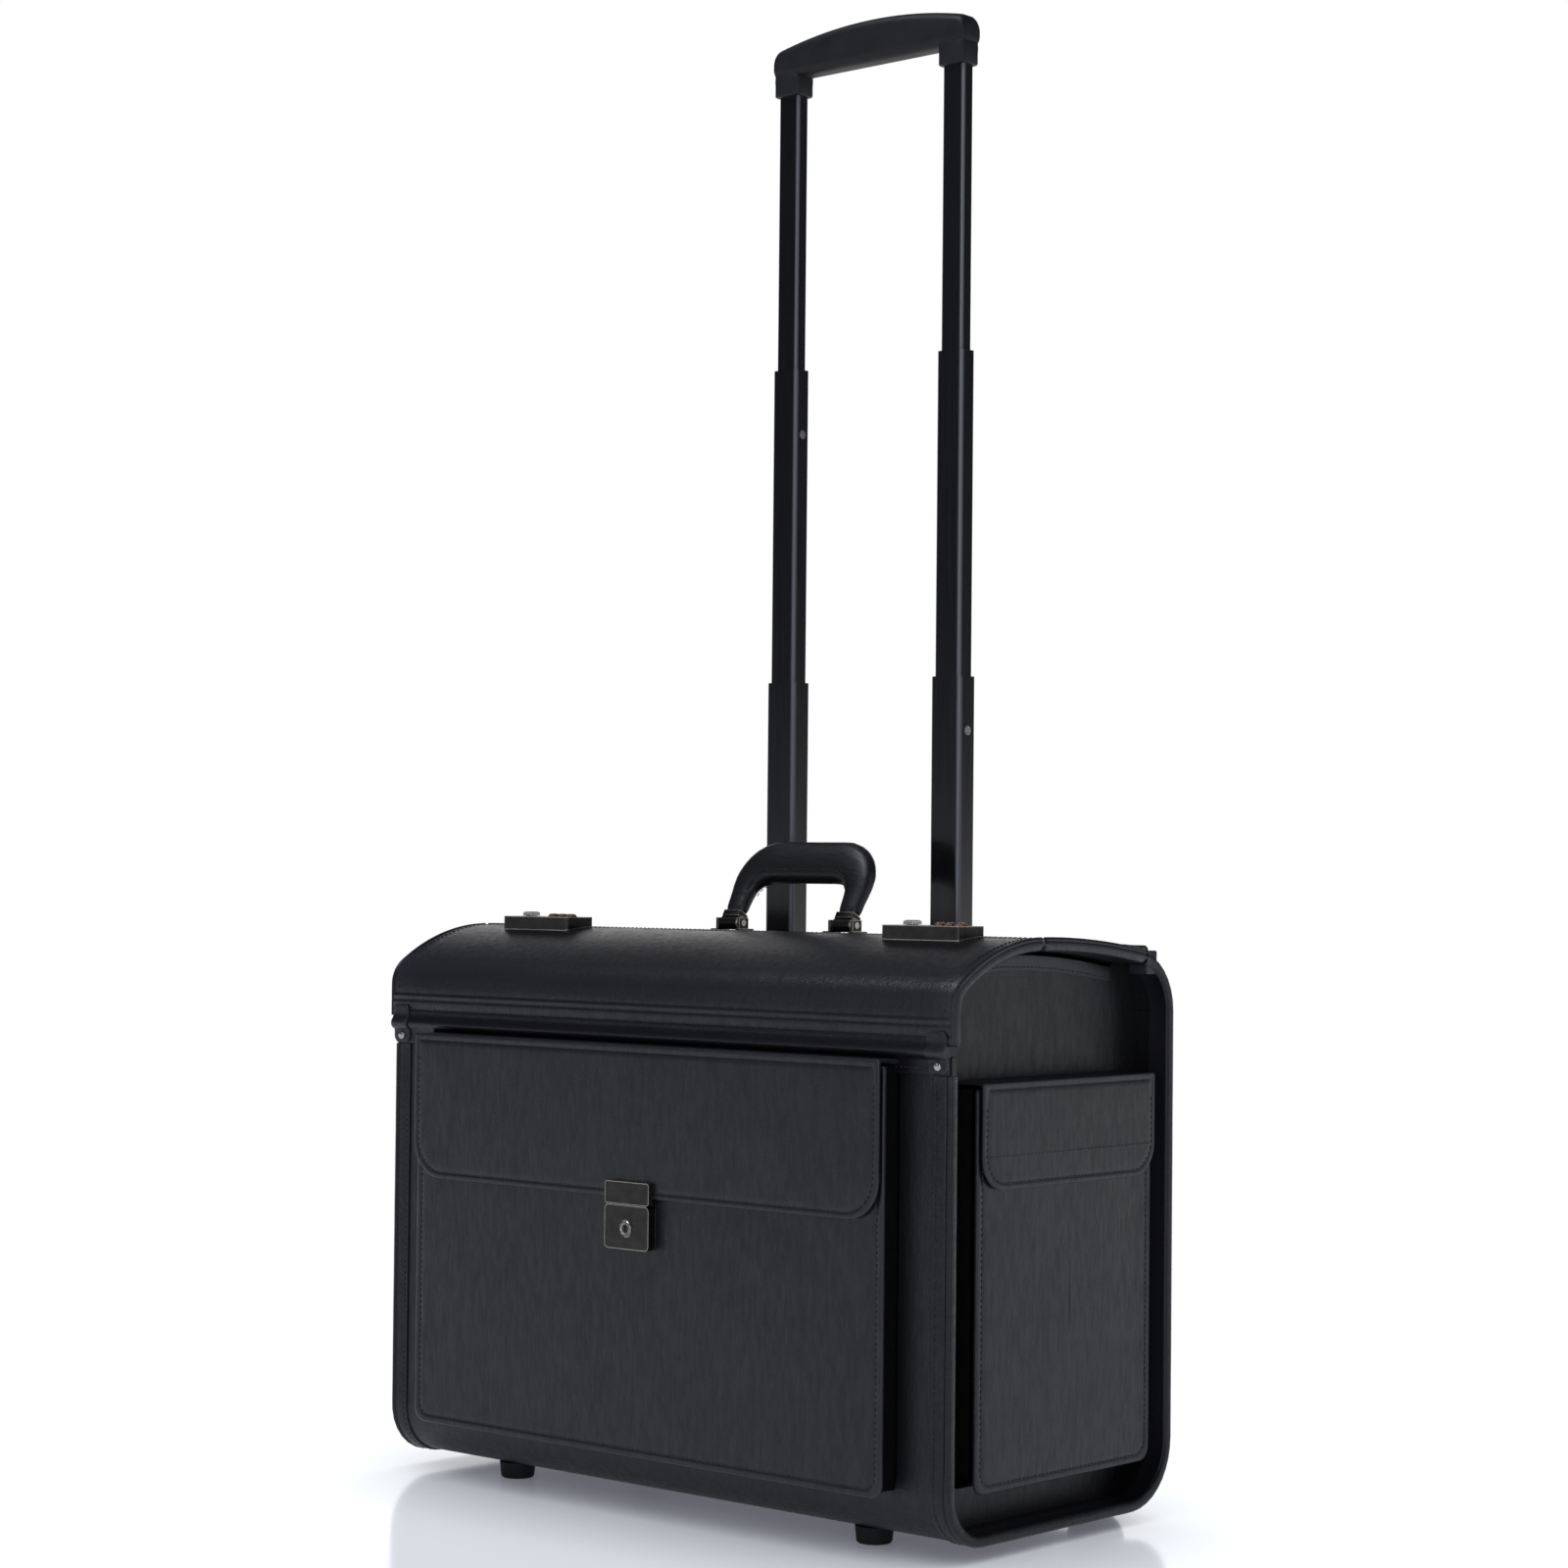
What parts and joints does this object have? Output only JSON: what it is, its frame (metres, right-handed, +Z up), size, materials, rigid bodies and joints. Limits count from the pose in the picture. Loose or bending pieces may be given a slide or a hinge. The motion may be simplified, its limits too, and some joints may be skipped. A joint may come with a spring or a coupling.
{
  "type": "pilot rolling flight case",
  "caption": "Upright black leatherette pilot case on wheels with top lids, combination locks, pockets, carry handle and a telescopic trolley handle.",
  "frame": {"origin": "centre of the whole case in plan, on the floor under the wheels and feet", "axes": "+X across the width towards the right end as seen from the front, +Y towards the trolley and wheels, +Z up"},
  "size_m": [0.488, 0.253, 0.985],
  "materials": {
    "leatherette": "fine pebbled grain with a soft sheen",
    "binding": "smooth stitched edge binding",
    "lining": "short-napped lining cloth",
    "lock_metal": "dark nickel with worn bright edges",
    "bright_steel": "polished",
    "dial_copper": "coppery with white numbers",
    "tube_black": "satin black anodised",
    "black_plastic": "fine moulded texture",
    "black_rubber": "matte"
  },
  "bodies": {
    "root": {"body_wrap": "leatherette", "end_panel_left": "leatherette", "end_panel_right": "leatherette", "rim_left": "binding", "rim_right": "binding", "base_board": "lining", "file_divider": "lining", "trolley_cover": "lining", "rear_top_strip": "leatherette", "rear_hinge_bead": "binding", "front_hinge_band": "binding", "hinge_tabs": "leatherette", "hinge_rivets": "bright_steel", "front_pocket": "leatherette", "pocket_lock_case": "lock_metal", "side_pocket_left": "leatherette", "side_pocket_right": "leatherette", "trolley_housings": "tube_black", "trolley_bracket": "lock_metal", "tube_bezels": "black_plastic", "front_feet": "black_rubber", "foot_screws": "bright_steel", "wheel_housings": "black_plastic", "wheel_axles": "bright_steel"},
    "front_lid": {"front_lid": "leatherette", "lock_case_left": "lock_metal", "lock_case_right": "lock_metal"},
    "lock_slider_left": {"lock_slider_left": "bright_steel"},
    "lock_slider_right": {"lock_slider_right": "bright_steel"},
    "rear_lid": {"rear_lid": "leatherette", "handle_brackets": "lock_metal", "handle_pins": "bright_steel", "hasp_mounts": "lock_metal"},
    "carry_handle": {"carry_handle": "leatherette"},
    "hasp_left": {"hasp_left": "lock_metal"},
    "hasp_right": {"hasp_right": "lock_metal"},
    "pocket_flap": {"pocket_flap": "leatherette", "pocket_lock_plate": "lock_metal"},
    "pocket_lock_button": {"pocket_lock_button": "bright_steel"},
    "side_flap_left": {"side_flap_left": "leatherette"},
    "side_flap_right": {"side_flap_right": "leatherette"},
    "lower_stage": {"lower_tubes": "tube_black"},
    "middle_stage": {"middle_tubes": "tube_black", "middle_plugs": "black_plastic"},
    "upper_stage": {"upper_tubes": "tube_black", "upper_plugs": "black_plastic", "trolley_grip": "black_plastic"},
    "lower_lock_button": {"lower_lock_button": "bright_steel"},
    "middle_lock_button": {"middle_lock_button": "bright_steel"},
    "wheel_left": {"wheel_tyre_left": "black_rubber", "wheel_hub_left": "black_plastic"},
    "wheel_right": {"wheel_tyre_right": "black_rubber", "wheel_hub_right": "black_plastic"},
    "dial_left_1": {"dial_left_1": "dial_copper"},
    "dial_left_2": {"dial_left_2": "dial_copper"},
    "dial_left_3": {"dial_left_3": "dial_copper"},
    "dial_right_1": {"dial_right_1": "dial_copper"},
    "dial_right_2": {"dial_right_2": "dial_copper"},
    "dial_right_3": {"dial_right_3": "dial_copper"}
  },
  "joints": [
    {"name": "front_lid_hinge", "type": "hinge", "parent": "root", "child": "front_lid", "pos_m": [0, -0.1045, 0.3], "axis": [1, 0, 0], "range_deg": [0, 100]},
    {"name": "rear_lid_hinge", "type": "hinge", "parent": "root", "child": "rear_lid", "pos_m": [0, 0.0915, 0.3565], "axis": [-1, 0, 0], "range_deg": [0, 85]},
    {"name": "carry_handle_hinge", "type": "hinge", "parent": "rear_lid", "child": "carry_handle", "pos_m": [0, 0.0245, 0.3701], "axis": [-1, 0, 0], "range_deg": [-90, 30]},
    {"name": "hasp_left_hinge", "type": "hinge", "parent": "rear_lid", "child": "hasp_left", "pos_m": [-0.168, -0.0055, 0.3686], "axis": [-1, 0, 0], "range_deg": [0, 100]},
    {"name": "lock_slider_left_slide", "type": "slide", "parent": "front_lid", "child": "lock_slider_left", "axis": [1, 0, 0], "range_m": [0, 0.005], "stiffness_N_per_m": 200, "springref_m": -0.002},
    {"name": "dial_left_1_spin", "type": "hinge", "parent": "front_lid", "child": "dial_left_1", "pos_m": [-0.162, -0.0315, 0.3706], "axis": [1, 0, 0], "continuous": true},
    {"name": "dial_left_2_spin", "type": "hinge", "parent": "front_lid", "child": "dial_left_2", "pos_m": [-0.154, -0.0315, 0.3706], "axis": [1, 0, 0], "continuous": true},
    {"name": "dial_left_3_spin", "type": "hinge", "parent": "front_lid", "child": "dial_left_3", "pos_m": [-0.146, -0.0315, 0.3706], "axis": [1, 0, 0], "continuous": true},
    {"name": "hasp_right_hinge", "type": "hinge", "parent": "rear_lid", "child": "hasp_right", "pos_m": [0.168, -0.0055, 0.3686], "axis": [-1, 0, 0], "range_deg": [0, 100]},
    {"name": "lock_slider_right_slide", "type": "slide", "parent": "front_lid", "child": "lock_slider_right", "axis": [1, 0, 0], "range_m": [0, 0.005], "stiffness_N_per_m": 200, "springref_m": -0.002},
    {"name": "dial_right_1_spin", "type": "hinge", "parent": "front_lid", "child": "dial_right_1", "pos_m": [0.174, -0.0315, 0.3706], "axis": [1, 0, 0], "continuous": true},
    {"name": "dial_right_2_spin", "type": "hinge", "parent": "front_lid", "child": "dial_right_2", "pos_m": [0.182, -0.0315, 0.3706], "axis": [1, 0, 0], "continuous": true},
    {"name": "dial_right_3_spin", "type": "hinge", "parent": "front_lid", "child": "dial_right_3", "pos_m": [0.19, -0.0315, 0.3706], "axis": [1, 0, 0], "continuous": true},
    {"name": "pocket_flap_hinge", "type": "hinge", "parent": "root", "child": "pocket_flap", "pos_m": [0, -0.1095, 0.2935], "axis": [1, 0, 0], "range_deg": [-85, 0]},
    {"name": "pocket_lock_button_slide", "type": "slide", "parent": "root", "child": "pocket_lock_button", "axis": [0, 1, 0], "range_m": [0, 0.002], "stiffness_N_per_m": 300, "springref_m": -0.001},
    {"name": "side_flap_left_hinge", "type": "hinge", "parent": "root", "child": "side_flap_left", "pos_m": [-0.219, 0.0165, 0.2795], "axis": [0, 1, 0], "range_deg": [0, 90]},
    {"name": "side_flap_right_hinge", "type": "hinge", "parent": "root", "child": "side_flap_right", "pos_m": [0.219, 0.0165, 0.2795], "axis": [0, -1, 0], "range_deg": [0, 90]},
    {"name": "lower_stage_slide", "type": "slide", "parent": "root", "child": "lower_stage", "axis": [0, 0, 1], "range_m": [-0.175, 0]},
    {"name": "middle_stage_slide", "type": "slide", "parent": "lower_stage", "child": "middle_stage", "axis": [0, 0, 1], "range_m": [-0.213, 0]},
    {"name": "upper_stage_slide", "type": "slide", "parent": "middle_stage", "child": "upper_stage", "axis": [0, 0, 1], "range_m": [-0.187, 0]},
    {"name": "lower_lock_button_press", "type": "slide", "parent": "lower_stage", "child": "lower_lock_button", "axis": [-1, 0, 0], "range_m": [0, 0.0012], "stiffness_N_per_m": 400, "springref_m": -0.0005},
    {"name": "middle_lock_button_press", "type": "slide", "parent": "middle_stage", "child": "middle_lock_button", "axis": [-1, 0, 0], "range_m": [0, 0.0012], "stiffness_N_per_m": 400, "springref_m": -0.0005},
    {"name": "wheel_left_spin", "type": "hinge", "parent": "root", "child": "wheel_left", "pos_m": [-0.195, 0.1025, 0.024], "axis": [1, 0, 0], "continuous": true},
    {"name": "wheel_right_spin", "type": "hinge", "parent": "root", "child": "wheel_right", "pos_m": [0.195, 0.1025, 0.024], "axis": [1, 0, 0], "continuous": true}
  ]
}
